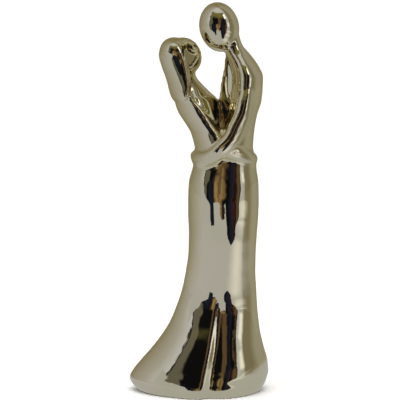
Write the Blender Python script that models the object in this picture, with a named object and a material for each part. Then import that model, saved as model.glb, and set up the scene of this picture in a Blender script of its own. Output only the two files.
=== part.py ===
"""A glazed ceramic figurine of a standing couple who embrace, cast as one piece.

Every place and size is a share of the figure's height, because the pose is one free form: the tables
below count in units of which the whole figure stands MODELLED_HEIGHT tall. X runs from the woman to
the man, Y from the front to the back, and Z up from the flat underside.
"""

import math

import bmesh
import bpy
import numpy as np
from mathutils import Matrix, Vector

FIGURE_HEIGHT = 0.300
MODELLED_HEIGHT = 100.6
UNIT = FIGURE_HEIGHT / MODELLED_HEIGHT

# Horizontal slices of the gown: height, left edge, right edge, half depth.
GOWN = [
    (63.1, -0.5, 13.1, 7.2),
    (60.8, -1.3, 14.5, 7.7),
    (57.9, -1.9, 14.7, 8.1),
    (54.3, -2.8, 15.2, 8.5),
    (50.0, -3.0, 15.3, 8.8),
    (46.0, -3.0, 15.2, 8.8),
    (41.8, -2.8, 14.9, 8.5),
    (36.6, -2.9, 14.6, 7.8),
    (31.3, -3.6, 14.5, 7.2),
    (26.1, -4.7, 14.8, 6.8),
    (22.5, -5.9, 15.0, 7.1),
    (18.5, -7.5, 15.4, 8.1),
    (15.5, -9.2, 15.8, 9.2),
    (11.3, -12.3, 16.8, 10.7),
    (7.6, -15.5, 17.8, 11.8),
    (4.9, -17.6, 18.0, 12.4),
    (3.2, -18.4, 17.6, 12.75),
    (1.8, -17.8, 17.1, 13.0),
    (0.5, -16.6, 16.4, 12.8),
    (-1.4, -13.9, 15.0, 11.0),
]
# The frontmost line of each slice as a share of the way across, and how square the slice is, by height.
GOWN_RIDGE = [(50, 0.47), (40, 0.51), (31, 0.53), (15, 0.52), (11, 0.55), (7.6, 0.57), (4.9, 0.58)]
GOWN_SQUARENESS = [(60, 2.3), (40, 2.2), (25, 1.8), (5, 1.75)]
# The valley in the gown's front between the two figures' hems: place across and width, by height.
VALLEY = [(26.1, 4.9), (12.9, 3.3), (0.0, 1.0)]
VALLEY_TOP, VALLEY_FADE = 26.0, 5.0
VALLEY_WIDTH = [(0.0, 3.0), (26.0, 1.4)]
VALLEY_STEEPNESS, VALLEY_REACH = 0.60, 3.0

# Horizontal slices of each body's side, where the shoulder and upper arm are, and of its chest.
WOMAN_SIDE = [
    (81.5, -7.6, -2.9, 3.4),
    (79.5, -7.4, -2.6, 5.0),
    (77.2, -6.9, -1.4, 5.9),
    (75.4, -6.5, -0.3, 6.2),
    (73.1, -5.8, 2.0, 6.6),
    (71.0, -4.6, 3.4, 7.0),
    (69.2, -3.4, 4.5, 7.4),
    (67.3, -2.3, 5.9, 7.9),
    (65.3, -1.7, 6.2, 8.3),
    (63.6, -1.3, 6.0, 8.3),
    (61.5, -1.1, 6.0, 8.0),
    (56.9, -0.8, 6.5, 7.8),
]
WOMAN_CHEST = [
    (85.1, -3.8, -1.3, 2.3),
    (83.6, -4.0, -1.1, 2.5),
    (82.1, -4.1, -1.0, 2.8),
    (80.0, -5.1, 0.5, 3.4),
    (78.0, -5.5, 2.5, 4.2),
    (75.9, -4.7, 4.6, 5.4),
    (73.4, -3.0, 5.4, 6.0),
    (70.3, -1.5, 5.8, 6.2),
    (66.7, 0.0, 6.0, 6.2),
    (60.5, 0.0, 6.4, 7.2),
]
MAN_SIDE = [
    (92.8, 6.1, 10.0, 2.7),
    (91.3, 6.4, 10.4, 2.7),
    (89.7, 6.5, 11.0, 2.9),
    (87.7, 6.9, 12.7, 3.6),
    (86.2, 7.6, 13.9, 4.6),
    (84.1, 8.2, 15.3, 5.9),
    (81.6, 8.5, 16.3, 6.8),
    (78.5, 8.3, 16.2, 7.3),
    (75.4, 7.9, 15.9, 7.6),
    (71.8, 7.2, 14.8, 7.9),
    (67.7, 6.4, 14.1, 7.9),
    (63.6, 5.8, 13.8, 7.7),
    (60.5, 5.2, 14.2, 7.6),
    (56.9, 5.2, 14.3, 7.5),
]
MAN_CHEST = [
    (88.5, 6.5, 11.0, 2.0),
    (86.2, 6.4, 12.0, 2.6),
    (84.1, 6.2, 12.5, 2.9),
    (81.6, 5.7, 13.0, 3.5),
    (78.5, 5.2, 12.8, 3.7),
    (75.4, 5.0, 12.3, 4.2),
    (71.8, 5.3, 11.5, 5.0),
    (67.7, 5.4, 10.5, 5.6),
    (60.5, 5.2, 10.5, 7.2),
]
# The woman's long hair, flat at the sides, from her crown to its cut end.
HAIR = [
    (90.5, -8.8, -4.3, 3.2),
    (89.2, -10.1, -3.6, 4.4),
    (87.2, -10.5, -3.2, 5.0),
    (84.6, -9.9, -2.9, 5.4),
    (82.1, -9.0, -2.5, 5.9),
    (79.5, -8.2, -2.4, 6.4),
    (77.7, -7.8, -2.5, 6.7),
    (76.4, -7.3, -2.9, 6.6),
    (75.6, -6.9, -3.6, 6.0),
]
# Each body form's slices with its ridge and its squareness by height.
BODIES = [
    (WOMAN_SIDE, [(77, 0.82), (73, 0.8)], [(60, 1.8), (72, 1.7), (78, 1.4)]),
    (WOMAN_CHEST, [(80, 0.5), (76, 0.44), (70, 0.4)], [(60, 1.3)]),
    (MAN_SIDE, [(92, 0.5), (84, 0.42), (79, 0.41), (70, 0.38)], [(92, 2.0), (82, 1.8)]),
    (MAN_CHEST, [(80, 0.8)], [(80, 1.2)]),
    (HAIR, [(89, 0.72), (85, 0.88), (80, 0.92)], [(90, 2.0), (86, 1.9), (78, 1.7)]),
]

# Near arms from the shoulder to behind the partner's back: across, depth, height, radius.
MAN_ARM = [
    (11.4, -3.0, 81.5, 1.6),
    (11.8, -5.0, 78.4, 2.1),
    (11.4, -6.2, 75.2, 2.3),
    (11.0, -6.9, 72.5, 2.3),
    (9.6, -7.7, 69.3, 2.2),
    (8.0, -8.5, 66.2, 2.1),
    (5.6, -8.9, 63.7, 1.9),
    (3.4, -8.1, 61.9, 1.8),
    (1.6, -6.8, 60.9, 1.8),
    (0.2, -5.0, 60.6, 1.9),
    (-0.6, -2.8, 60.7, 1.8),
    (-0.9, 0.0, 60.9, 1.7),
]
WOMAN_ARM = [
    (3.6, -5.0, 66.2, 1.7),
    (5.2, -7.0, 64.6, 2.0),
    (7.0, -7.8, 63.4, 2.0),
    (8.8, -7.3, 62.8, 2.0),
    (10.6, -6.2, 62.0, 1.9),
    (12.2, -4.6, 61.1, 1.7),
    (13.2, -2.6, 60.6, 1.6),
    (13.5, 0.0, 60.5, 1.6),
]

# Egg-shaped forms: centre, radii, the lean about Y in degrees, and how much flatter the right end is.
MAN_HEAD = ((5.0, 0.0, 94.3), (5.1, 5.2, 6.4), -12, 0.0)
WOMAN_HEAD = ((-3.9, 0.0, 86.9), (4.4, 4.3, 4.9), -25, 0.6)
WOMAN_CROWN = ((-6.4, 0.0, 88.0), (3.9, 4.9, 3.7), 25, 0.0)

RING_SIDES = 48
SLICE_GAP = 0.8
VOXEL = 0.5
JOIN_SOFTNESS = 1.32
TRIANGLES = 9400
GLAZE_COLOUR = (0.72, 0.66, 0.53, 1.0)
GLAZE_ROUGHNESS = 0.08


def slice_rows(rows):
    """Rows every SLICE_GAP of height, read from a monotone cubic through the given ones."""
    rows = np.array(sorted(rows))
    heights, values = rows[:, 0], rows[:, 1:]
    gaps = np.diff(heights)[:, None]
    slopes = np.diff(values, axis=0) / gaps
    same_way = slopes[:-1] * slopes[1:] > 0
    harmonic = 2 * slopes[:-1] * slopes[1:] / np.where(same_way, slopes[:-1] + slopes[1:], 1)
    tangents = np.concatenate([slopes[:1], np.where(same_way, harmonic, 0), slopes[-1:]])
    wanted = np.linspace(heights[0], heights[-1], math.ceil(np.ptp(heights) / SLICE_GAP) + 1)
    span = np.clip(np.searchsorted(heights, wanted, side="right") - 1, 0, len(gaps) - 1)
    t = ((wanted - heights[span]) / gaps[span, 0])[:, None]
    start, end = values[span], values[span + 1]
    run = gaps[span]
    smooth = (
        start * (1 + 2 * t) * (1 - t) ** 2
        + tangents[span] * run * t * (1 - t) ** 2
        + end * t**2 * (3 - 2 * t)
        + tangents[span + 1] * run * t**2 * (t - 1)
    )
    return np.column_stack([wanted, smooth])


def by_height(pairs, height):
    """A value read at a height from (height, value) pairs, straight between them and held beyond."""
    heights, values = zip(*sorted(pairs))
    return np.interp(height, heights, values)


def ring(height, left, right, depth, ridge, squareness):
    """Points round one slice: two half ellipses that meet at the ridge, a share of the way across.

    A squareness over 2 makes the slice squarer, and one under 2 gives it straighter sides.
    """
    turns = np.linspace(0, 2 * math.pi, RING_SIDES, endpoint=False)
    cosine, sine = np.cos(turns), np.sin(turns)
    reach = (np.abs(cosine) ** squareness + np.abs(sine) ** squareness) ** (-1 / squareness)
    crest = left + ridge * (right - left)
    across = crest + np.where(cosine > 0, right - crest, crest - left) * reach * cosine
    return np.column_stack([across, reach * sine * depth, np.full(RING_SIDES, height)])


def press_valley(points):
    """Front points behind the valley's left bank, most pressed back just beyond it and less further on."""
    fade = np.clip((VALLEY_TOP - points[:, 2]) / VALLEY_FADE, 0, 1)
    width = by_height(VALLEY_WIDTH, points[:, 2])
    off = points[:, 0] - by_height(VALLEY, points[:, 2])
    t = np.clip(off / width + 0.5, 0, 1)
    push = width * t**2 * (3 - 2 * t) * np.exp(-np.clip(off - width / 2, 0, None) / VALLEY_REACH)
    front = np.clip(-points[:, 1] / GOWN[-1][3], 0, 1)
    points[:, 1] += VALLEY_STEEPNESS * push * front * fade**2 * (3 - 2 * fade)
    return points


def add_loft(bm, rows, ridges, squareness, shape=None):
    """A closed skin over the slices of one form."""
    before = None
    for row in slice_rows(rows):
        points = ring(*row, by_height(ridges, row[0]), by_height(squareness, row[0]))
        if shape:
            points = shape(points)
        loop = [bm.verts.new(Vector(p) * UNIT) for p in points]
        if before is None:
            bm.faces.new(loop[::-1])
        else:
            for i in range(RING_SIDES):
                j = (i + 1) % RING_SIDES
                bm.faces.new((before[i], before[j], loop[j], loop[i]))
        before = loop
    bm.faces.new(before)


def add_egg(bm, centre, radii, lean, taper):
    """A leaning egg, such as a head, whose depth shrinks by the taper towards its right end."""
    place = Matrix.Translation(Vector(centre) * UNIT)
    turn = Matrix.Rotation(math.radians(lean), 4, "Y")
    size = Matrix.Diagonal((*(Vector(radii) * UNIT), 1))
    ball = bmesh.ops.create_icosphere(bm, subdivisions=5, radius=1)["verts"]
    for vert in ball:
        vert.co.y *= 1 - taper * vert.co.x
    bmesh.ops.transform(bm, matrix=place @ turn @ size, verts=ball)


def add_arms(bm, name, points):
    """One tube through the near arm and its mirror image at the back, which meet behind the partner."""
    far = [(x, -y, z, radius) for x, y, z, radius in points[-2::-1]]
    curve = bpy.data.curves.new(name, "CURVE")
    curve.dimensions = "3D"
    curve.bevel_depth = UNIT
    curve.bevel_resolution = 6
    curve.use_fill_caps = True
    curve.resolution_u = 8
    spline = curve.splines.new("BEZIER")
    spline.radius_interpolation = "CARDINAL"
    spline.bezier_points.add(len(points) + len(far) - 1)
    for knot, (x, y, z, radius) in zip(spline.bezier_points, points + far):
        knot.co = Vector((x, y, z)) * UNIT
        knot.handle_left_type = knot.handle_right_type = "AUTO"
        knot.radius = radius
    guide = bpy.data.objects.new(name, curve)
    bpy.context.scene.collection.objects.link(guide)
    bpy.context.view_layer.update()
    mesh = bpy.data.meshes.new_from_object(guide.evaluated_get(bpy.context.evaluated_depsgraph_get()))
    bm.from_mesh(mesh)
    bpy.data.objects.remove(guide)
    bpy.data.meshes.remove(mesh)


def rough_couple():
    """All the forms in one mesh, each closed and running into its neighbours."""
    bm = bmesh.new()
    add_loft(bm, GOWN, GOWN_RIDGE, GOWN_SQUARENESS, press_valley)
    for body in BODIES:
        add_loft(bm, *body)
    for egg in (MAN_HEAD, WOMAN_HEAD, WOMAN_CROWN):
        add_egg(bm, *egg)
    add_arms(bm, "man_arms", MAN_ARM)
    add_arms(bm, "woman_arms", WOMAN_ARM)
    bmesh.ops.recalc_face_normals(bm, faces=bm.faces)
    mesh = bpy.data.meshes.new("couple_figurine")
    bm.to_mesh(mesh)
    bm.free()
    return mesh


def fuse(rough):
    """One skin round the forms, with soft joins as slip casting leaves them.

    Each round of smoothing spreads by a voxel, and its reach grows with the root of the rounds.
    """
    source = bpy.data.objects.new("rough_couple", rough)
    bpy.context.scene.collection.objects.link(source)
    remesh = source.modifiers.new("one skin", "REMESH")
    remesh.mode = "VOXEL"
    remesh.voxel_size = VOXEL * UNIT
    smooth = source.modifiers.new("soft joins", "SMOOTH")
    smooth.factor = 0.5
    smooth.iterations = round((JOIN_SOFTNESS / VOXEL) ** 2)
    thin = source.modifiers.new("fewer faces", "DECIMATE")
    bpy.context.view_layer.update()
    graph = bpy.context.evaluated_depsgraph_get()
    thin.ratio = TRIANGLES / (2 * len(source.evaluated_get(graph).data.polygons))
    bpy.context.view_layer.update()
    mesh = bpy.data.meshes.new_from_object(source.evaluated_get(bpy.context.evaluated_depsgraph_get()))
    bpy.data.objects.remove(source)
    return mesh


def stand_on_floor(mesh):
    """The mesh cut off flat at its underside, with the middle of its box over the origin."""
    bm = bmesh.new()
    bm.from_mesh(mesh)
    cut = bmesh.ops.bisect_plane(
        bm,
        geom=bm.verts[:] + bm.edges[:] + bm.faces[:],
        plane_co=(0, 0, 0),
        plane_no=(0, 0, -1),
        clear_outer=True,
        dist=UNIT / 1000,
    )
    rim = [edge for edge in cut["geom_cut"] if isinstance(edge, bmesh.types.BMEdge)]
    bmesh.ops.holes_fill(bm, edges=rim)
    bmesh.ops.recalc_face_normals(bm, faces=bm.faces)
    corners = np.array([vert.co for vert in bm.verts])
    middle = (corners.min(axis=0) + corners.max(axis=0)) / 2
    bmesh.ops.translate(bm, verts=bm.verts, vec=(-middle[0], -middle[1], 0))
    bm.to_mesh(mesh)
    bm.free()
    return mesh


def plated_glaze():
    """The warm silver metal glaze that covers the whole figurine."""
    material = bpy.data.materials.new("plated_glaze")
    material.use_nodes = True
    shader = material.node_tree.nodes["Principled BSDF"]
    shader.inputs["Base Color"].default_value = GLAZE_COLOUR
    shader.inputs["Metallic"].default_value = 1.0
    shader.inputs["Roughness"].default_value = GLAZE_ROUGHNESS
    return material


def main():
    for leftover in list(bpy.data.objects):
        bpy.data.objects.remove(leftover)
    mesh = stand_on_floor(fuse(rough_couple()))
    mesh.name = "couple_figurine"
    mesh.materials.clear()
    mesh.materials.append(plated_glaze())
    mesh.shade_smooth()
    couple = bpy.data.objects.new("couple_figurine", mesh)
    bpy.context.scene.collection.objects.link(couple)


main()
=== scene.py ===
# %% [markdown]
# # A ceramic couple under a mirror glaze
#
# The real object is one hollow casting: a man and a woman hold each other, and one gown runs from
# their waists to the shelf. Its glaze is a warm metal lustre, polished like a mirror, so what the eye
# reads is less its colour than the room bent over its curves. Three things make the likeness: the
# form, a glaze that does little beyond reflecting, and a studio for it to reflect. They are built here
# in that order.

# %% The frame
import math

import bmesh
import bpy
import numpy as np
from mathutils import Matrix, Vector


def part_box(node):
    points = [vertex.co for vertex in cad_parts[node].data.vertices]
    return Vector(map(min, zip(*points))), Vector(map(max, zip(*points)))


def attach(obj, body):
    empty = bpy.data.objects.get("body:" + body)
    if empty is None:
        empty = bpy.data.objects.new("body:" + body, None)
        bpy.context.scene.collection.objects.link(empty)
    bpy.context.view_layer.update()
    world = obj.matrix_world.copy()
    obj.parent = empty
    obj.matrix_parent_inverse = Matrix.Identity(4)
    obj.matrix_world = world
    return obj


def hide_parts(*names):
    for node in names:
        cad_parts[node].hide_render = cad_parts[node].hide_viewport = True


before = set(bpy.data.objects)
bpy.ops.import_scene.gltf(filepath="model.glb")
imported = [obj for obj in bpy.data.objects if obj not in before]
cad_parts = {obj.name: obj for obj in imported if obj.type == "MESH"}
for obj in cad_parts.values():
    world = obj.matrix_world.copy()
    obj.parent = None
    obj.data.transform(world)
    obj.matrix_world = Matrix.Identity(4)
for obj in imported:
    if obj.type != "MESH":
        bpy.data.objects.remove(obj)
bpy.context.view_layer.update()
low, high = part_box("couple_figurine")
FIGURE_HEIGHT = high.z - low.z
print("the frame holds", sorted(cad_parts), "and stands", round(FIGURE_HEIGHT * 1000, 1), "mm tall")

# %% [markdown]
# ## Shares of the height
#
# A sculptor scales a figure from its height. The tables below count in units of which the whole
# figure stands 100.6 tall, as the solid under it does, so the two keep the same form at any size.
# X runs from the woman to the man, Y from the front to the back, and Z up from the shelf.

# %% Units
MODELLED_HEIGHT = 100.6
UNIT = FIGURE_HEIGHT / MODELLED_HEIGHT
print("one unit is", round(UNIT * 1000, 3), "mm")

# %% [markdown]
# ## Reading smooth rows
#
# A form is easiest to judge as a pile of slices, each with a height, a left edge, a right edge and a
# half depth. Few slices are given, so the ones between them are read from a curve. A monotone cubic is
# the right curve here: a mirror shows every wobble, and this one never swings past its points.


# %% A monotone cubic through a table's rows
def smooth_rows(rows, wanted):
    """Each column is a cubic between two rows; a row's slope is the harmonic mean of the slopes on its
    two sides, or nought where they point opposite ways."""
    rows = np.array(rows, float)
    rows = rows[np.argsort(rows[:, 0])]
    heights, values = rows[:, 0], rows[:, 1:]
    gaps = np.diff(heights)[:, None]
    slopes = np.diff(values, axis=0) / gaps
    same_way = slopes[:-1] * slopes[1:] > 0
    harmonic = 2 * slopes[:-1] * slopes[1:] / np.where(same_way, slopes[:-1] + slopes[1:], 1)
    tangents = np.concatenate([slopes[:1], np.where(same_way, harmonic, 0), slopes[-1:]])
    span = np.clip(np.searchsorted(heights, wanted, side="right") - 1, 0, len(gaps) - 1)
    t = ((wanted - heights[span]) / gaps[span, 0])[:, None]
    return (
        values[span] * (1 + 2 * t) * (1 - t) ** 2
        + tangents[span] * gaps[span] * t * (1 - t) ** 2
        + values[span + 1] * t**2 * (3 - 2 * t)
        + tangents[span + 1] * gaps[span] * t**2 * (t - 1)
    )


def by_height(pairs, height):
    """A value read at a height from (height, value) pairs: straight between them, and held beyond."""
    return np.interp(height, *np.array(sorted(pairs), float).T)


print("a cubic from 1 to 2 passes", smooth_rows([(0, 1), (1, 2)], np.array([0.5]))[0, 0], "halfway")

# %% [markdown]
# ## Surfaces as grids
#
# Every form here is a grid of points that closes on itself one way, like a sleeve, with a pole point
# at each end. A loft, an egg and a limb differ only in the formula that places the grid. The loft
# comes first: it makes the gown, the bodies and the hair.

# %% A loft through slices
SIDES = 160
SLICE_GAP = 0.3


def loft(rows, ridges, squareness):
    """Each slice is two half ellipses that meet at the ridge, its frontmost line, a share of the way from
    left to right: x = ridge + reach to that side times cos(turn) / p, y = half depth times sin(turn) / p,
    where p is the sum of |cos|^s and |sin|^s, to the power 1/s. With s under 2 a side is straighter, as a
    roof's is, and over 2 it is squarer. The ridge's share and s are read from (height, value) pairs."""
    bottom, top = min(rows)[0], max(rows)[0]
    heights = np.linspace(bottom, top, int((top - bottom) / SLICE_GAP) + 2)
    left, right, depth = smooth_rows(rows, heights).T[:, :, None]
    ridge = by_height(ridges, heights)[:, None]
    s = by_height(squareness, heights)[:, None]
    turn = np.linspace(0, 2 * np.pi, SIDES, endpoint=False)
    reach = (np.abs(np.cos(turn)) ** s + np.abs(np.sin(turn)) ** s) ** (-1 / s)
    crest = left + ridge * (right - left)
    x = crest + np.where(np.cos(turn) > 0, right - crest, crest - left) * reach * np.cos(turn)
    y = depth * reach * np.sin(turn)
    return np.stack([x, y, np.broadcast_to(heights[:, None], x.shape)], axis=-1)


tube = loft([(0, -1, 1, 1), (3, -1, 1, 1)], ridges=[(0, 0.5)], squareness=[(0, 2.0)])
print("a plain tube 3 units tall is a grid of", tube.shape[:2], "points")

# %% [markdown]
# ## The gown
#
# Both figures share one gown: narrow at the waist, flared to a train on the woman's side, and rolled
# under at the hem. A table of slices says all of that.

# %% The gown's slices: height, left edge, right edge, half depth
GOWN = [
    (63.1, -0.5, 13.1, 7.2),
    (60.8, -1.3, 14.5, 7.7),
    (57.9, -1.9, 14.7, 8.1),
    (54.3, -2.8, 15.2, 8.5),
    (50.0, -3.0, 15.3, 8.8),
    (46.0, -3.0, 15.2, 8.8),
    (41.8, -2.8, 14.9, 8.5),
    (36.6, -2.9, 14.6, 7.8),
    (31.3, -3.6, 14.5, 7.2),
    (26.1, -4.7, 14.8, 6.8),
    (22.5, -5.9, 15.0, 7.1),
    (18.5, -7.5, 15.4, 8.1),
    (15.5, -9.2, 15.8, 9.2),
    (11.3, -12.3, 16.8, 10.7),
    (7.6, -15.5, 17.8, 11.8),
    (4.9, -17.6, 18.0, 12.4),
    (3.2, -18.4, 17.6, 12.75),
    (1.8, -17.8, 17.1, 13.0),
    (0.5, -16.6, 16.4, 12.8),
    (-1.4, -13.9, 15.0, 11.0),
]
GOWN_RIDGE = [(50, 0.47), (40, 0.51), (31, 0.53), (15, 0.52), (11, 0.55), (7.6, 0.57), (4.9, 0.58)]
GOWN_SQUARENESS = [(60, 2.3), (40, 2.2), (25, 1.8), (5, 1.75)]
plain_gown = loft(GOWN, GOWN_RIDGE, GOWN_SQUARENESS)
print("the gown is a grid of", plain_gown.shape[:2], "points")

# %% [markdown]
# ## The valley between two hems
#
# Low on the front the gown steps back along a line, as if the woman's hem lay a little before the
# man's. The step's bank faces right, so in a mirror glaze it shows as a pale stroke between two dark
# ones. Pressing finished points back is simpler than adding a fold to every slice.

# %% The valley: its place across and its width by height
VALLEY = [(26.1, 4.9), (12.9, 3.3), (0.0, 1.0)]
VALLEY_TOP, VALLEY_FADE = 26.0, 5.0
VALLEY_WIDTH = [(0.0, 3.0), (26.0, 1.4)]
VALLEY_STEEPNESS, VALLEY_REACH = 0.60, 3.0
HEM_DEPTH = GOWN[-1][3]


def press_valley(grid):
    """Front points right of the valley's left bank move back by steepness times width times the smooth step
    3t^2 - 2t^3 across it, and come forward again by exp(-distance / reach) beyond it."""
    fade = np.clip((VALLEY_TOP - grid[..., 2]) / VALLEY_FADE, 0, 1)
    width = by_height(VALLEY_WIDTH, grid[..., 2])
    off = grid[..., 0] - by_height(VALLEY, grid[..., 2])
    t = np.clip(off / width + 0.5, 0, 1)
    push = width * t**2 * (3 - 2 * t) * np.exp(-np.clip(off - width / 2, 0, None) / VALLEY_REACH)
    front = np.clip(-grid[..., 1] / HEM_DEPTH, 0, 1)
    pressed = grid.copy()
    pressed[..., 1] += VALLEY_STEEPNESS * push * front * fade**2 * (3 - 2 * fade)
    return pressed


gown = press_valley(plain_gown)
print("the valley is up to", round(float(np.ptp(gown - plain_gown)) * UNIT * 1000, 1), "mm deep")

# %% [markdown]
# ## Two bodies
#
# Above the waist the casting parts into two chests with a gap between them. Each body is two lofts,
# because one slice can't be round at the shoulder and narrow at the breast: the side holds the
# shoulder and the upper arm, and the chest leans towards the partner.

# %% The woman's side and chest
WOMAN_SIDE = [
    (81.5, -7.6, -2.9, 3.4),
    (79.5, -7.4, -2.6, 5.0),
    (77.2, -6.9, -1.4, 5.9),
    (75.4, -6.5, -0.3, 6.2),
    (73.1, -5.8, 2.0, 6.6),
    (71.0, -4.6, 3.4, 7.0),
    (69.2, -3.4, 4.5, 7.4),
    (67.3, -2.3, 5.9, 7.9),
    (65.3, -1.7, 6.2, 8.3),
    (63.6, -1.3, 6.0, 8.3),
    (61.5, -1.1, 6.0, 8.0),
    (56.9, -0.8, 6.5, 7.8),
]
WOMAN_CHEST = [
    (85.1, -3.8, -1.3, 2.3),
    (83.6, -4.0, -1.1, 2.5),
    (82.1, -4.1, -1.0, 2.8),
    (80.0, -5.1, 0.5, 3.4),
    (78.0, -5.5, 2.5, 4.2),
    (75.9, -4.7, 4.6, 5.4),
    (73.4, -3.0, 5.4, 6.0),
    (70.3, -1.5, 5.8, 6.2),
    (66.7, 0.0, 6.0, 6.2),
    (60.5, 0.0, 6.4, 7.2),
]
woman = [
    loft(WOMAN_SIDE, ridges=[(77, 0.82), (73, 0.8)], squareness=[(60, 1.8), (72, 1.7), (78, 1.4)]),
    loft(WOMAN_CHEST, ridges=[(80, 0.5), (76, 0.44), (70, 0.4)], squareness=[(60, 1.3)]),
]
print("the woman's grids:", [grid.shape[:2] for grid in woman])

# %% The man's side and chest
MAN_SIDE = [
    (92.8, 6.1, 10.0, 2.7),
    (91.3, 6.4, 10.4, 2.7),
    (89.7, 6.5, 11.0, 2.9),
    (87.7, 6.9, 12.7, 3.6),
    (86.2, 7.6, 13.9, 4.6),
    (84.1, 8.2, 15.3, 5.9),
    (81.6, 8.5, 16.3, 6.8),
    (78.5, 8.3, 16.2, 7.3),
    (75.4, 7.9, 15.9, 7.6),
    (71.8, 7.2, 14.8, 7.9),
    (67.7, 6.4, 14.1, 7.9),
    (63.6, 5.8, 13.8, 7.7),
    (60.5, 5.2, 14.2, 7.6),
    (56.9, 5.2, 14.3, 7.5),
]
MAN_CHEST = [
    (88.5, 6.5, 11.0, 2.0),
    (86.2, 6.4, 12.0, 2.6),
    (84.1, 6.2, 12.5, 2.9),
    (81.6, 5.7, 13.0, 3.5),
    (78.5, 5.2, 12.8, 3.7),
    (75.4, 5.0, 12.3, 4.2),
    (71.8, 5.3, 11.5, 5.0),
    (67.7, 5.4, 10.5, 5.6),
    (60.5, 5.2, 10.5, 7.2),
]
man = [
    loft(MAN_SIDE, ridges=[(92, 0.5), (84, 0.42), (79, 0.41), (70, 0.38)], squareness=[(92, 2.0), (82, 1.8)]),
    loft(MAN_CHEST, ridges=[(80, 0.8)], squareness=[(80, 1.2)]),
]
print("the man's grids:", [grid.shape[:2] for grid in man])

# %% [markdown]
# ## Hair and heads
#
# The heads are plain eggs without a face, which is the maker's own style, and her hair is one smooth
# sheet, flat at its sides, from her crown to a cut end. A third egg rounds the crown.

# %% The hair's slices
HAIR = [
    (90.5, -8.8, -4.3, 3.2),
    (89.2, -10.1, -3.6, 4.4),
    (87.2, -10.5, -3.2, 5.0),
    (84.6, -9.9, -2.9, 5.4),
    (82.1, -9.0, -2.5, 5.9),
    (79.5, -8.2, -2.4, 6.4),
    (77.7, -7.8, -2.5, 6.7),
    (76.4, -7.3, -2.9, 6.6),
    (75.6, -6.9, -3.6, 6.0),
]
hair = loft(HAIR, ridges=[(89, 0.72), (85, 0.88), (80, 0.92)], squareness=[(90, 2.0), (86, 1.9), (78, 1.7)])
print("the hair is a grid of", hair.shape[:2], "points")


# %% Eggs for the heads
def egg(centre, radii, lean, taper=0.0):
    """A sphere's point at a height angle and a turn, times the radii, with its depth shrunk by the taper's
    share towards its right end, then leaned about Y by degrees, plus the centre."""
    angle = np.linspace(-np.pi / 2, np.pi / 2, SIDES)[1:-1, None]
    turn = np.linspace(0, 2 * np.pi, SIDES, endpoint=False)
    level = np.cos(angle)
    ball = np.stack([level * np.cos(turn), level * np.sin(turn), np.sin(angle) * np.ones(SIDES)], axis=-1)
    ball[..., 1] *= 1 - taper * ball[..., 0]
    ball *= radii
    c, s = math.cos(math.radians(lean)), math.sin(math.radians(lean))
    return ball @ np.array([[c, 0, -s], [0, 1, 0], [s, 0, c]]) + centre


man_head = egg(centre=(5.0, 0.0, 94.3), radii=(5.1, 5.2, 6.4), lean=-12)
woman_head = egg(centre=(-3.9, 0.0, 86.9), radii=(4.4, 4.3, 4.9), lean=-25, taper=0.6)
woman_crown = egg(centre=(-6.4, 0.0, 88.0), radii=(3.9, 4.9, 3.7), lean=25)
print("the man's head is", round(float(np.ptp(man_head[..., 2])) * UNIT * 1000, 1), "mm tall")

# %% [markdown]
# ## Arms round each other
#
# Each near arm leaves its shoulder, crosses the other at the waist and ends behind the partner's back.
# The far arms mirror them, so one limb runs from the near shoulder round the back to the far one. An
# arm is mostly wider than it is thick, so its ring needs a frame that doesn't twist: one of its axes
# always points away from the body's spine.

# %% The arms' knots: across, depth, height, half width, half thickness
MAN_ARM = [
    (11.4, -3.0, 81.5, 1.6, 1.6),
    (11.8, -5.0, 78.4, 2.0, 2.2),
    (11.4, -6.2, 75.2, 2.3, 2.2),
    (11.0, -6.9, 72.5, 2.4, 2.1),
    (9.6, -7.7, 69.3, 2.4, 2.0),
    (8.0, -8.5, 66.2, 2.2, 2.0),
    (5.6, -8.9, 63.7, 2.0, 1.8),
    (3.4, -8.1, 61.9, 1.9, 1.7),
    (1.6, -6.8, 60.9, 2.0, 1.6),
    (0.2, -5.0, 60.6, 2.1, 1.6),
    (-0.6, -2.8, 60.7, 2.0, 1.5),
    (-0.9, 0.0, 60.9, 1.8, 1.5),
]
WOMAN_ARM = [
    (3.6, -5.0, 66.2, 1.8, 1.6),
    (5.2, -7.0, 64.6, 2.1, 1.8),
    (7.0, -7.8, 63.4, 2.2, 1.7),
    (8.8, -7.3, 62.8, 2.2, 1.7),
    (10.6, -6.2, 62.0, 2.1, 1.6),
    (12.2, -4.6, 61.1, 1.8, 1.5),
    (13.2, -2.6, 60.6, 1.6, 1.5),
    (13.5, 0.0, 60.5, 1.6, 1.5),
]


def both_sides(knots):
    """The near arm's knots, then the same ones mirrored in Y and taken backwards."""
    return knots + [(x, -y, z, width, thick) for x, y, z, width, thick in knots[-2::-1]]


print("knots round both sides:", len(both_sides(MAN_ARM)), "and", len(both_sides(WOMAN_ARM)))

# %% A limb along its knots
SPINE = 6.5
LIMB_RINGS, LIMB_SIDES, EASING_ROUNDS = 260, 64, 6


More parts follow.
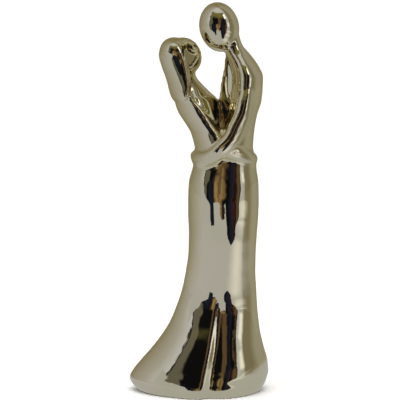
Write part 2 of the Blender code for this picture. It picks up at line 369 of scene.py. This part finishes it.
def limb(knots, ridge):
    """A ring carried along a smooth curve through the knots. N points away from the body's spine and B lies
    across the limb: each ring is centre + thickness sin(turn) N + (side reach cos(turn) - shift) B, where
    the ridge, a share of the way across, sets the reach to each side and the shift keeps the limb centred."""
    knots = np.array(knots, float)
    run = np.concatenate([[0], np.cumsum(np.linalg.norm(np.diff(knots[:, :3], axis=0), axis=1))])
    line = smooth_rows(np.column_stack([run, knots]), np.linspace(0, run[-1], LIMB_RINGS))
    for _ in range(EASING_ROUNDS):
        line[1:-1] = (line[:-2] + 2 * line[1:-1] + line[2:]) / 4
    centre, width, thick = line[:, None, :3], line[:, None, 3:4], line[:, None, 4:5]
    along = np.gradient(centre, axis=0)
    along /= np.linalg.norm(along, axis=-1, keepdims=True)
    outward = centre - np.array([SPINE, 0, 0])
    outward[..., 2] = 0
    outward -= along * np.sum(outward * along, axis=-1, keepdims=True)
    outward /= np.linalg.norm(outward, axis=-1, keepdims=True)
    beside = np.cross(along, outward)
    turn = np.linspace(0, 2 * np.pi, LIMB_SIDES, endpoint=False)[None, :, None]
    reach = 2 * width * np.where(np.cos(turn) > 0, 1 - ridge, ridge)
    across = reach * np.cos(turn) - width * (1 - 2 * ridge)
    return centre + thick * np.sin(turn) * outward + across * beside


arms = [limb(both_sides(MAN_ARM), ridge=0.62), limb(both_sides(WOMAN_ARM), ridge=0.5)]
print("arm grids:", [arm.shape[:2] for arm in arms])

# %% [markdown]
# ## One casting
#
# The grids run into each other, but a casting has one skin. A voxel remesh wraps all of them in even
# small squares, and a few rounds of smoothing then draw the joins into the soft creases that slip and
# glaze leave. The figure is made a little too deep at the foot and cut off flat, as a potter does it.


# %% A closed skin over one grid
def skin(grid):
    """The grid's points row by row, then its two poles, with four-sided faces between rows and a fan of
    three-sided ones at each end."""
    rows, sides = grid.shape[:2]
    poles = [grid[0].mean(axis=0)[None], grid[-1].mean(axis=0)[None]]
    here = np.arange(rows * sides).reshape(rows, sides)
    beyond = np.roll(here, -1, axis=1)
    walls = np.stack([here[:-1], beyond[:-1], beyond[1:], here[1:]], axis=-1).reshape(-1, 4)
    first, last = np.full(sides, rows * sides), np.full(sides, rows * sides + 1)
    ends = [
        np.stack([beyond[0], here[0], first], axis=-1),
        np.stack([here[-1], beyond[-1], last], axis=-1),
    ]
    return np.concatenate([grid.reshape(-1, 3), *poles]), walls, np.concatenate(ends)


print("the hair's skin has", len(skin(hair)[0]), "points")

# %% Wrap all the grids in one skin
VOXEL = 0.32
SMOOTH_FACTOR, SMOOTH_ROUNDS = 0.5, 9


def wrap(grids):
    """All the grids in one mesh, wrapped by a voxel remesh, each of whose points then moves halfway to its
    neighbours' middle a few times over."""
    skins = [skin(grid * UNIT) for grid in grids]
    starts = np.cumsum([0] + [len(points) for points, _, _ in skins])
    points = np.concatenate([points for points, _, _ in skins])
    walls = np.concatenate([fours + start for (_, fours, _), start in zip(skins, starts)])
    fans = np.concatenate([threes + start for (_, _, threes), start in zip(skins, starts)])
    rough = bpy.data.meshes.new("rough_couple")
    rough.from_pydata(points, [], walls.tolist() + fans.tolist())
    source = bpy.data.objects.new("rough_couple", rough)
    bpy.context.scene.collection.objects.link(source)
    remesh = source.modifiers.new("one skin", "REMESH")
    remesh.mode = "VOXEL"
    remesh.voxel_size = VOXEL * UNIT
    smooth = source.modifiers.new("soft joins", "SMOOTH")
    smooth.factor = SMOOTH_FACTOR
    smooth.iterations = SMOOTH_ROUNDS
    graph = bpy.context.evaluated_depsgraph_get()
    wrapped = bpy.data.meshes.new_from_object(source.evaluated_get(graph))
    bpy.data.objects.remove(source)
    return wrapped


casting = wrap([gown, *woman, *man, hair, man_head, woman_head, woman_crown, *arms])
print("the wrapped skin has", len(casting.polygons), "faces")

# %% Cut it off at the shelf
CUT_TOLERANCE = UNIT / 1000


def stand(mesh):
    """The mesh cut off at the shelf, closed below and centred over the origin."""
    bm = bmesh.new()
    bm.from_mesh(mesh)
    cut = bmesh.ops.bisect_plane(
        bm,
        geom=bm.verts[:] + bm.edges[:] + bm.faces[:],
        plane_co=(0, 0, 0),
        plane_no=(0, 0, -1),
        clear_outer=True,
        dist=CUT_TOLERANCE,
    )
    rim = [edge for edge in cut["geom_cut"] if isinstance(edge, bmesh.types.BMEdge)]
    bmesh.ops.holes_fill(bm, edges=rim)
    bmesh.ops.recalc_face_normals(bm, faces=bm.faces)
    bm.to_mesh(mesh)
    bm.free()
    places = np.empty(len(mesh.vertices) * 3)
    mesh.vertices.foreach_get("co", places)
    places = places.reshape(-1, 3)
    middle = (places.min(axis=0) + places.max(axis=0)) / 2
    places -= (middle[0], middle[1], 0)
    mesh.vertices.foreach_set("co", places.ravel())
    mesh.update()


stand(casting)
print("the casting has", len(casting.polygons), "faces")

# %% The finished piece takes the solid's place
SHARP_FROM = math.radians(50)

casting.name = "couple"
casting.shade_smooth()
casting.set_sharp_from_angle(angle=SHARP_FROM)
couple = bpy.data.objects.new("couple", casting)
bpy.context.scene.collection.objects.link(couple)
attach(couple, "root")
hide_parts("couple_figurine")
print("the couple rides on the root body")

# %% [markdown]
# ## Joining nodes in code
#
# Shader trees get long, so one helper adds a node, fills in its inputs and hands back its first output.
# The others are the few kinds of node that come up again and again.


# %% Helpers for node trees
def add(tree, kind, inputs=None, **settings):
    """A new node with its settings; inputs may be values or other nodes' outputs."""
    node = tree.nodes.new(kind)
    for name, value in settings.items():
        setattr(node, name, value)
    for key, value in (inputs or {}).items():
        if isinstance(value, bpy.types.NodeSocket):
            tree.links.new(value, node.inputs[key])
        else:
            node.inputs[key].default_value = value
    return node.outputs[0]


def calculate(tree, operation, first, second=0.0, third=0.0):
    """One sum of a Math node."""
    return add(tree, "ShaderNodeMath", {0: first, 1: second, 2: third}, operation=operation)


def step_between(tree, value, start, end):
    """0 before start, 1 after end, and a smooth step between; end may be the lower of the two."""
    inputs = {"Value": value, "From Min": start, "From Max": end}
    return add(tree, "ShaderNodeMapRange", inputs, interpolation_type="SMOOTHSTEP")


def noise(tree, place, scale, detail, roughness=0.5):
    """A cloudy value round a half, whose clouds are about 1 / scale across."""
    inputs = {"Vector": place, "Scale": scale, "Detail": detail, "Roughness": roughness}
    return add(tree, "ShaderNodeTexNoise", inputs)


FACTOR, FIRST_COLOUR, SECOND_COLOUR, MIXED_COLOUR = 0, 6, 7, 2


def blend(tree, factor, first, second):
    """A mix of two colours: the first where the factor is 0, and the second where it is 1. The node's
    sockets go by number, because several share a name."""
    inputs = {FACTOR: factor, FIRST_COLOUR: first, SECOND_COLOUR: second}
    return add(tree, "ShaderNodeMix", inputs, data_type="RGBA").node.outputs[MIXED_COLOUR]


print("five helpers for node trees")

# %% [markdown]
# ## The glaze
#
# The lustre is a metal film far thinner than a hair on a glassy glaze. It takes its warm tint from the
# metal, so light that bounces twice between the figures comes out a deeper gold. It was brushed on and
# fired, which leaves three small marks: the film is thicker and greener in some places, the surface
# rolls a little like poured syrup, and a few pinholes break it. The sole that stood on the kiln shelf
# has no glaze. The tint and the relief are node groups, so that another piece could take them.


# %% An empty node group
def new_group(name, inputs, outputs):
    """An empty shader group with its sockets; each is a name, a socket type and, for an input, a value."""
    tree = bpy.data.node_groups.new(name, "ShaderNodeTree")
    for label, kind, *value in inputs:
        socket = tree.interface.new_socket(label, in_out="INPUT", socket_type=kind)
        if value:
            socket.default_value = value[0]
    for label, kind in outputs:
        tree.interface.new_socket(label, in_out="OUTPUT", socket_type=kind)
    return tree, tree.nodes.new("NodeGroupInput"), tree.nodes.new("NodeGroupOutput")


print("node groups so far:", len(bpy.data.node_groups))

# %% The film's tint and polish
THIN_FILM, THICK_FILM = (0.88, 0.805, 0.62, 1.0), (0.83, 0.775, 0.555, 1.0)
DRIFT_SCALE, DRIFT_RANGE = 14.0, (0.38, 0.66)
STROKE_SCALE, STROKE_SQUEEZE, STROKE_RANGE = 90.0, (1.0, 1.0, 7.0), (0.45, 0.75)
POLISH, STROKE_ROUGHNESS = 0.035, 0.035


def film_tint():
    """Colour: thin to thick film by the smooth step of a slow noise. Roughness: the polish, plus the smooth
    step of a fine noise squeezed in height, so that its marks run round the figure as the brush did."""
    tree, given, result = new_group(
        "film_tint",
        [
            ("Vector", "NodeSocketVector"),
            ("Thin", "NodeSocketColor", THIN_FILM),
            ("Thick", "NodeSocketColor", THICK_FILM),
        ],
        [("Color", "NodeSocketColor"), ("Roughness", "NodeSocketFloat")],
    )
    place = given.outputs["Vector"]
    thick = step_between(tree, noise(tree, place, DRIFT_SCALE, detail=3.0), *DRIFT_RANGE)
    colour = blend(tree, thick, given.outputs["Thin"], given.outputs["Thick"])
    squeezed = add(tree, "ShaderNodeVectorMath", {0: place, 1: STROKE_SQUEEZE}, operation="MULTIPLY")
    strokes = noise(tree, squeezed, STROKE_SCALE, detail=4.0, roughness=0.6)
    marks = step_between(tree, strokes, *STROKE_RANGE)
    tree.links.new(colour, result.inputs["Color"])
    roughness = calculate(tree, "MULTIPLY_ADD", marks, STROKE_ROUGHNESS, POLISH)
    tree.links.new(roughness, result.inputs["Roughness"])
    return tree


tint_group = film_tint()
print("the tint group has", len(tint_group.nodes), "nodes")

# %% The glaze's rolls and pinholes
ROLL_SCALE, CELL_SCALE, CHANCE_SCALE = 75.0, 150.0, 55.0
PIT_RIM, PIT_CHANCE, PIT_DEPTH = (0.045, 0.02), (0.62, 0.66), 0.35


def glaze_relief():
    """Height: slow rolls a centimetre long, less the depth of pinholes half a millimetre wide. Pits: 1 near
    the middle of a cell and only where a second noise is high, so that most cells have none."""
    tree, given, result = new_group(
        "glaze_relief",
        [("Vector", "NodeSocketVector")],
        [("Height", "NodeSocketFloat"), ("Pits", "NodeSocketFloat")],
    )
    place = given.outputs["Vector"]
    rolls = noise(tree, place, ROLL_SCALE, detail=2.0, roughness=0.35)
    cells = add(tree, "ShaderNodeTexVoronoi", {"Vector": place, "Scale": CELL_SCALE, "Randomness": 1.0})
    middle = step_between(tree, cells, *PIT_RIM)
    chosen = step_between(tree, noise(tree, place, CHANCE_SCALE, detail=1.0), *PIT_CHANCE)
    pits = calculate(tree, "MULTIPLY", middle, chosen)
    height = calculate(tree, "MULTIPLY_ADD", pits, -PIT_DEPTH, rolls)
    tree.links.new(height, result.inputs["Height"])
    tree.links.new(pits, result.inputs["Pits"])
    return tree


relief_group = glaze_relief()
print("the relief group has", len(relief_group.nodes), "nodes")

# %% The plated glaze
BARE_CLAY, PIT_COLOUR = (0.60, 0.53, 0.43, 1.0), (0.30, 0.26, 0.19, 1.0)
CLAY_ROUGHNESS = 0.7
SOLE_EDGE = 0.0006
RELIEF_HEIGHT = 0.00018


def plated_glaze():
    """Metal with the film's tint and roughness and the relief's bump, darker in its pits, and bare clay
    below the sole's edge: bare = the smooth step from that height down to half of it."""
    material = bpy.data.materials.new("plated_glaze")
    material.use_nodes = True
    tree = material.node_tree
    shader = tree.nodes["Principled BSDF"]
    place = add(tree, "ShaderNodeTexCoord").node.outputs["Object"]
    film = add(tree, "ShaderNodeGroup", {"Vector": place}, node_tree=tint_group).node
    relief = add(tree, "ShaderNodeGroup", {"Vector": place}, node_tree=relief_group).node
    height = add(tree, "ShaderNodeSeparateXYZ", {0: place}).node.outputs["Z"]
    bare = step_between(tree, height, SOLE_EDGE, SOLE_EDGE / 2)
    colour = blend(tree, relief.outputs["Pits"], film.outputs["Color"], PIT_COLOUR)
    tree.links.new(blend(tree, bare, colour, BARE_CLAY), shader.inputs["Base Color"])
    tree.links.new(calculate(tree, "SUBTRACT", 1.0, bare), shader.inputs["Metallic"])
    roughness = calculate(tree, "MULTIPLY_ADD", bare, CLAY_ROUGHNESS, film.outputs["Roughness"])
    tree.links.new(roughness, shader.inputs["Roughness"])
    relief_inputs = {"Strength": 1.0, "Distance": RELIEF_HEIGHT, "Height": relief.outputs["Height"]}
    tree.links.new(add(tree, "ShaderNodeBump", relief_inputs), shader.inputs["Normal"])
    return material


casting.materials.clear()
casting.materials.append(plated_glaze())
print("the casting wears", casting.materials[0].name)

# %% [markdown]
# ## A studio for the glaze to mirror
#
# A mirror needs something to show. Soft pale light alone would turn this glaze into plain putty, so
# the studio has dark, warm places too, and most of it is there for the glaze alone: the camera sees
# only the figurine on a white paper sweep. Its sheets belong to the studio, not to the object.

# %% Sheets of the studio
SHEET_ROUGHNESS = 0.9
NO_LIGHT = (0, 0, 0, 1)


def staged_sheet(name, points, faces, colour, glow=NO_LIGHT):
    """A matt sheet of these points and faces that belongs to the studio and may glow by itself."""
    mesh = bpy.data.meshes.new(name)
    mesh.from_pydata(points, [], faces)
    sheet = bpy.data.objects.new(name, mesh)
    bpy.context.scene.collection.objects.link(sheet)
    paint = bpy.data.materials.new(name)
    paint.use_nodes = True
    shader = paint.node_tree.nodes["Principled BSDF"]
    shader.inputs["Base Color"].default_value = colour
    shader.inputs["Roughness"].default_value = SHEET_ROUGHNESS
    shader.inputs["Emission Color"].default_value = glow
    shader.inputs["Emission Strength"].default_value = 1.0
    mesh.materials.append(paint)
    return sheet


def only_mirrored(sheet):
    """The glaze mirrors the sheet, while the camera, shadows and soft light pass it by."""
    sheet.visible_camera = False
    sheet.visible_shadow = False
    sheet.visible_diffuse = False


print("a sheet's roughness is", SHEET_ROUGHNESS)

# %% The paper sweep
PAPER = (0.86, 0.86, 0.86, 1)
SWEEP_FRONT, SWEEP_BACK, SWEEP_CURVE, SWEEP_TOP, SWEEP_HALF = -0.9, 1.6, 0.8, 1.6, 1.5
SWEEP_DROP, BEND_STEPS = 0.0002, 24

bend = np.linspace(0, np.pi / 2, BEND_STEPS)
deep = np.concatenate([[SWEEP_FRONT], SWEEP_BACK - SWEEP_CURVE * (1 - np.sin(bend)), [SWEEP_BACK]])
tall = np.concatenate([[0.0], SWEEP_CURVE * (1 - np.cos(bend)), [SWEEP_TOP]]) - SWEEP_DROP
right_edge = np.stack([np.full(len(deep), SWEEP_HALF), deep, tall], axis=-1)
sweep_points = np.stack([right_edge * (-1, 1, 1), right_edge], axis=1).reshape(-1, 3)
sweep_strips = 2 * np.arange(len(deep) - 1)[:, None] + [0, 1, 3, 2]
sweep = staged_sheet("sweep", sweep_points, sweep_strips.tolist(), PAPER)
sweep.data.shade_smooth()
sweep.visible_glossy = False
print("the sweep bends up over", len(sweep_strips), "strips")

# %% [markdown]
# ## A pale cloth with a torn edge
#
# Where a curve of the gown mirrors the cloth it looks pale, and where it mirrors what lies past the
# cloth's front edge it looks dark. So the edge's corners draw the tips and notches of the dark patches:
# the nearer to the figure a corner comes, the lower on the gown the patch under the waist reaches there.

# %% The cloth: the corners of its front edge, starting from the left
CLOTH_HALF, CLOTH_BACK = 5.0, 3.0
CLOTH_EDGE = [
    (-5.0, -3.2), (-0.75, -0.62), (-0.52, -0.56), (-0.193, -0.394), (-0.147, -0.445), (-0.43, -1.25),
    (-0.15, -1.52), (0.019, -0.80), (0.18, -1.42), (0.094, -0.62), (0.073, -0.322), (0.109, -0.262),
    (0.163, -0.284), (0.275, -0.40), (0.60, -0.66), (5.0, -5.0),
]
back_corners = [(CLOTH_HALF, CLOTH_BACK), (-CLOTH_HALF, CLOTH_BACK)]
cloth_outline = [(x, y, 0) for x, y in CLOTH_EDGE + back_corners]
cloth = staged_sheet("cloth", cloth_outline, [tuple(range(len(cloth_outline)))], NO_LIGHT)
only_mirrored(cloth)
print("the cloth's edge has", len(CLOTH_EDGE), "corners")

# %% [markdown]
# ## The room past the cloth
#
# What lies farther off can be painted by direction alone, so it is the world's shader, where a place
# is given by degrees round from straight ahead and degrees up. Dark and brown columns stand ahead
# under a low ceiling, pale screens close them in, khaki and olive walls run round the back, and a soft
# strip and a window shine from the right. A slow noise sways the columns, because straight ones would
# look drawn. The camera itself sees plain white instead.

# %% The room's colours
WHITE = (1, 1, 1, 1)
SCREEN = (0.53, 0.55, 0.61, 1)
LOW_SCREEN = (0.43, 0.44, 0.465, 1)
FAR_SCREEN = (0.39, 0.39, 0.38, 1)
SHADE = (0.42, 0.43, 0.46, 1)
PALE = (0.32, 0.31, 0.25, 1)
OLIVE = (0.25, 0.22, 0.135, 1)
KHAKI = (0.20, 0.18, 0.12, 1)
MOSS = (0.125, 0.12, 0.095, 1)
CEILING = (0.17, 0.15, 0.055, 1)
TIMBER = (0.30, 0.21, 0.10, 1)
WOOD = (0.17, 0.115, 0.06, 1)
BROWN = (0.105, 0.068, 0.036, 1)
MAROON = (0.045, 0.015, 0.022, 1)
NAVY = (0.010, 0.014, 0.030, 1)
BLACK = (0.005, 0.005, 0.006, 1)
print("the darkest place glows", round(SCREEN[1] / BLACK[1]), "times less than a screen")

# %% The room's columns: degrees round from straight ahead, and the colour there
LOW_COLUMNS = [
    (-60, SCREEN), (-58.5, BLACK), (-56, BLACK), (-54, MOSS), (-46, MOSS), (-43, BLACK), (-36, BLACK),
    (-33, NAVY), (-26, NAVY), (-23, BLACK), (-17, BROWN), (-14, TIMBER), (-8, TIMBER), (-5, BROWN),
    (-3, TIMBER), (2, WOOD), (6, BLACK), (13, BLACK), (16, NAVY), (24, NAVY), (26, MAROON), (30, BLACK),
    (34, BROWN), (42, BROWN), (45, BLACK), (46.5, SCREEN), (60, SHADE),
]
HIGH_COLUMNS = [
    (-60, SCREEN), (-58.5, BLACK), (-56.5, BLACK), (-55, MOSS), (-40, MOSS), (-37, BLACK), (-9, BLACK),
    (-5, BROWN), (10, BROWN), (13, BLACK), (24, NAVY), (30, BLACK), (38, BLACK), (40, BROWN), (43, BLACK),
    (45, BLACK), (46.5, SCREEN), (60, SHADE),
]
CLOTH_COLUMNS = [
    (-150, OLIVE), (-84, FAR_SCREEN), (-60, LOW_SCREEN), (60, LOW_SCREEN), (66, KHAKI), (84, KHAKI),
    (104, PALE), (125, PALE), (160, OLIVE),
]
WALL_COLUMNS = [
    (-150, OLIVE), (-84, FAR_SCREEN), (-60, SCREEN), (60, SCREEN), (66, KHAKI), (84, KHAKI),
    (100, PALE), (125, PALE), (160, OLIVE),
]
AHEAD_SPAN, ALL_ROUND = 90, 180


def columns_ramp(tree, place, columns, half_span):
    """Colours side by side by their place in degrees, read over a span either way from straight ahead."""
    ramp = tree.nodes.new("ShaderNodeValToRGB")
    stops = ramp.color_ramp.elements
    stops[0].color, stops[1].color = columns[0][1], columns[-1][1]
    for degrees, shade in columns:
        stops.new((degrees + half_span) / (2 * half_span)).color = shade
    inputs = {"Value": place, "From Min": float(-half_span), "From Max": float(half_span)}
    tree.links.new(add(tree, "ShaderNodeMapRange", inputs), ramp.inputs[0])
    return ramp.outputs[0]


print("columns ahead:", len(LOW_COLUMNS), "low and", len(HIGH_COLUMNS), "high")

# %% Places in the room, in degrees
DEGREES = 180 / math.pi


def turn_from_ahead(tree, x, y):
    """Degrees round from straight ahead, which is -Y, towards +X: the arc tangent of x over -y."""
    turned = calculate(tree, "ARCTAN2", x, calculate(tree, "MULTIPLY", y, -1.0))
    return calculate(tree, "MULTIPLY", turned, DEGREES)


def near(tree, value, middle, full, gone):
    """1 where the value is within full of the middle, 0 beyond gone, and a smooth step between."""
    off = calculate(tree, "ABSOLUTE", calculate(tree, "SUBTRACT", value, middle))
    return step_between(tree, off, gone, full)


print("one radian is", round(DEGREES, 1), "degrees")

# %% What stands ahead
SWAY = 26.0
LOW_TOP = (7.0, 11.0)
CEILING_RISE = (28.0, 46.0)
CEILING_LEFT, CEILING_RIGHT = (-59.0, -57.0), (46.0, 44.0)


def paint_ahead(tree, azimuth, height, drift):
    """Columns whose place sways with the drift. The low ones turn into the high ones over LOW_TOP, and the
    ceiling comes in over CEILING_RISE between its left and right ends."""
    swayed = calculate(tree, "MULTIPLY_ADD", drift, SWAY, calculate(tree, "SUBTRACT", azimuth, SWAY / 2))
    low_part, high_part = [
        columns_ramp(tree, swayed, columns, AHEAD_SPAN) for columns in (LOW_COLUMNS, HIGH_COLUMNS)
    ]
    ahead = blend(tree, step_between(tree, height, *LOW_TOP), low_part, high_part)
    ends = [step_between(tree, swayed, *end) for end in (CEILING_LEFT, CEILING_RIGHT)]
    within = calculate(tree, "MULTIPLY", *ends)
    above = calculate(tree, "MULTIPLY", within, step_between(tree, height, *CEILING_RISE))
    return blend(tree, above, ahead, CEILING)


print("the ceiling starts", CEILING_RISE[0], "degrees up")

# %% The room as a world shader
DRIFT_ACROSS_DEGREES = 0.03
ROOM_DRIFT_SCALE, TOP_SWAY = 2.2, 14.0
FOOT_FADE = (16.0, 0.0)
AHEAD_SIDE, AHEAD_TOP = (64.0, 60.0), (70.0, 62.0)
# Each patch of light: its colour, then its middle, where it is full and where it is gone, across and up.
SOFT_STRIP = ((0.95, 0.95, 0.98, 1), (57.0, 0.0, 9.0), (11.0, 5.0, 9.0))
WINDOW = ((2.0, 2.0, 2.0, 1), (44.0, 4.0, 7.0), (42.0, 6.0, 10.0))


def paint_room():
    """The walls all round, what stands ahead over them, and two patches of light over both; a camera ray
    sees white."""
    world = bpy.data.worlds.new("room")
    bpy.context.scene.world = world
    world.use_nodes = True
    tree = world.node_tree
    tree.nodes.clear()
    x, y, z = add(tree, "ShaderNodeSeparateXYZ", {0: add(tree, "ShaderNodeTexCoord")}).node.outputs
    azimuth = turn_from_ahead(tree, x, y)
    height = calculate(tree, "MULTIPLY", calculate(tree, "ARCSINE", z), DEGREES)
    shrunk = [calculate(tree, "MULTIPLY", degrees, DRIFT_ACROSS_DEGREES) for degrees in (azimuth, height)]
    place = add(tree, "ShaderNodeCombineXYZ", dict(enumerate(shrunk)))
    drift = noise(tree, place, ROOM_DRIFT_SCALE, detail=3.0)

    walls = columns_ramp(tree, azimuth, WALL_COLUMNS, ALL_ROUND)
    foot = columns_ramp(tree, azimuth, CLOTH_COLUMNS, ALL_ROUND)
    walls = blend(tree, step_between(tree, height, *FOOT_FADE), walls, foot)
    front = step_between(tree, calculate(tree, "ABSOLUTE", azimuth), *AHEAD_SIDE)
    top = step_between(tree, calculate(tree, "MULTIPLY_ADD", drift, TOP_SWAY, height), *AHEAD_TOP)
    ahead = paint_ahead(tree, azimuth, height, drift)
    colour = blend(tree, calculate(tree, "MULTIPLY", front, top), walls, ahead)
    for shade, across, up in (SOFT_STRIP, WINDOW):
        patch = calculate(tree, "MULTIPLY", near(tree, azimuth, *across), near(tree, height, *up))
        colour = blend(tree, patch, colour, shade)

    seen = tree.nodes.new("ShaderNodeLightPath")
    colour = blend(tree, seen.outputs["Is Camera Ray"], colour, WHITE)
    background = add(tree, "ShaderNodeBackground", {"Color": colour})
    output = tree.nodes.new("ShaderNodeOutputWorld")
    tree.links.new(background, output.inputs["Surface"])
    return tree


print("the room's shader has", len(paint_room().nodes), "nodes")

# %% [markdown]
# ## A screen close by
#
# What stands close by shifts against the far room from the hem to the heads, which a painted direction
# can't do. So the low screen on the left is a real sheet: the hem mirrors it above its dark left band,
# which it cuts off on a slant, while the waist and the heads look over it.

# %% The low screen: its top in degrees up, seen from the hem, by degrees round
LOW_SCREEN_AWAY = 0.48
SEEN_FROM = 0.065
LOW_SCREEN_TOP = [(-66, 22), (-60, 20), (-52, 13), (-42, 9), (-29, 2), (-27, -7)]


def low_screen():
    """A point of the foot is away sin(turn), -away cos(turn), 0, and the top over it is as high as the place
    it is seen from plus away tan(height)."""
    turns, heights = np.radians(np.array(LOW_SCREEN_TOP, float)).T
    level = 0 * turns
    foot = np.stack([LOW_SCREEN_AWAY * np.sin(turns), -LOW_SCREEN_AWAY * np.cos(turns), level], axis=-1)
    top = foot + np.stack([level, level, SEEN_FROM + LOW_SCREEN_AWAY * np.tan(heights)], axis=-1)
    count = len(turns)
    faces = [(i, i + 1, count + i + 1, count + i) for i in range(count - 1)]
    # The screen is not lit: its pale colour is a glow of its own, painted light standing in for light falling
    # on it.
    return staged_sheet("low_screen", np.concatenate([foot, top]), faces, NO_LIGHT, LOW_SCREEN)


screen = low_screen()
only_mirrored(screen)
print("the low screen has", len(screen.data.polygons), "panels")

# %% [markdown]
# ## The cloth's own glow
#
# The cloth glows rather than being lit, so that its colour can be matched to the room behind it. Near
# the figure it is as pale as the screens, farther out it takes the wall's colour in that direction, so
# no line shows where they meet, and three soft spots of painted light on the right lead to the window's
# light.

# %% Paint the cloth
LIKE_SCREENS_WITHIN, LIKE_WALLS_BEYOND = 0.12, 0.5
# Each spot of painted light: its middle, the radius where it is gone, and its strength.
PAINTED_LIGHT_SPOTS = [
    ((0.20, -0.20, 0), 0.15, 0.5),
    ((0.50, -0.40, 0), 0.30, 0.55),
    ((1.1, -0.72, 0), 0.6, 0.55),
]


def paint_cloth():
    """The screens' colour blended to the walls' by distance from the figure, then to white, as painted light,
    by each spot's strength times a smooth step from its radius in to its middle."""
    tree = cloth.data.materials[0].node_tree
    place = add(tree, "ShaderNodeTexCoord").node.outputs["Object"]
    x, y, _ = add(tree, "ShaderNodeSeparateXYZ", {0: place}).node.outputs
    wall = columns_ramp(tree, turn_from_ahead(tree, x, y), CLOTH_COLUMNS, ALL_ROUND)
    away = add(tree, "ShaderNodeVectorMath", {0: place}, operation="LENGTH").node.outputs["Value"]
    far = step_between(tree, away, LIKE_SCREENS_WITHIN, LIKE_WALLS_BEYOND)
    shade = blend(tree, far, LOW_SCREEN, wall)
    # The spots brighten the cloth's glow towards white: painted light from the window.
    for middle, radius, strength in PAINTED_LIGHT_SPOTS:
        off = add(tree, "ShaderNodeVectorMath", {0: place, 1: middle}, operation="DISTANCE")
        amount = step_between(tree, off.node.outputs["Value"], radius, 0.0)
        shade = blend(tree, calculate(tree, "MULTIPLY", amount, strength), shade, WHITE)
    tree.links.new(shade, tree.nodes["Principled BSDF"].inputs["Emission Color"])
    return tree


print("the cloth's shader has", len(paint_cloth().nodes), "nodes")

# %% [markdown]
# ## One lamp for the paper
#
# A wide softbox over the sweep makes the paper white and lays a soft shadow at the hem. The glaze
# doesn't mirror it, because a square of light on the heads would give the studio away.

# %% The fill lamp
FILL_PLACE, FILL_AIM = Vector((0, -0.1, 2.2)), Vector((0, 0.4, 0))
FILL_SIZE, FILL_POWER = 2.6, 75

fill_light = bpy.data.lights.new("sweep_fill", "AREA")
fill_light.size, fill_light.energy = FILL_SIZE, FILL_POWER
fill = bpy.data.objects.new("sweep_fill", fill_light)
fill.location = FILL_PLACE
fill.rotation_euler = (FILL_AIM - FILL_PLACE).to_track_quat("-Z", "Y").to_euler()
fill.visible_glossy = False
bpy.context.scene.collection.objects.link(fill)
print("the lamp hangs", round(FILL_PLACE.z, 1), "m up")

# %% [markdown]
# ## The camera
#
# The photograph looks down by a few degrees from over a metre away. A long lens keeps the figure's
# sides nearly parallel, and its target sits just under the middle of the height.

# %% The camera
CAMERA_DISTANCE, CAMERA_RISE = 1.2457, 6.5
CAMERA_TARGET = Vector((0.0008, 0.0, 0.1484))
SENSOR, LENS = 36.0, 145.22

camera_data = bpy.data.cameras.new("camera")
camera_data.sensor_width, camera_data.lens = SENSOR, LENS
camera = bpy.data.objects.new("camera", camera_data)
rise = math.radians(CAMERA_RISE)
camera.location = CAMERA_TARGET + CAMERA_DISTANCE * Vector((0, -math.cos(rise), math.sin(rise)))
camera.rotation_euler = (math.pi / 2 - rise, 0, 0)
bpy.context.scene.collection.objects.link(camera)
bpy.context.scene.camera = camera
bpy.context.scene.view_settings.view_transform = "Standard"
print("camera at", [round(v, 3) for v in camera.location])
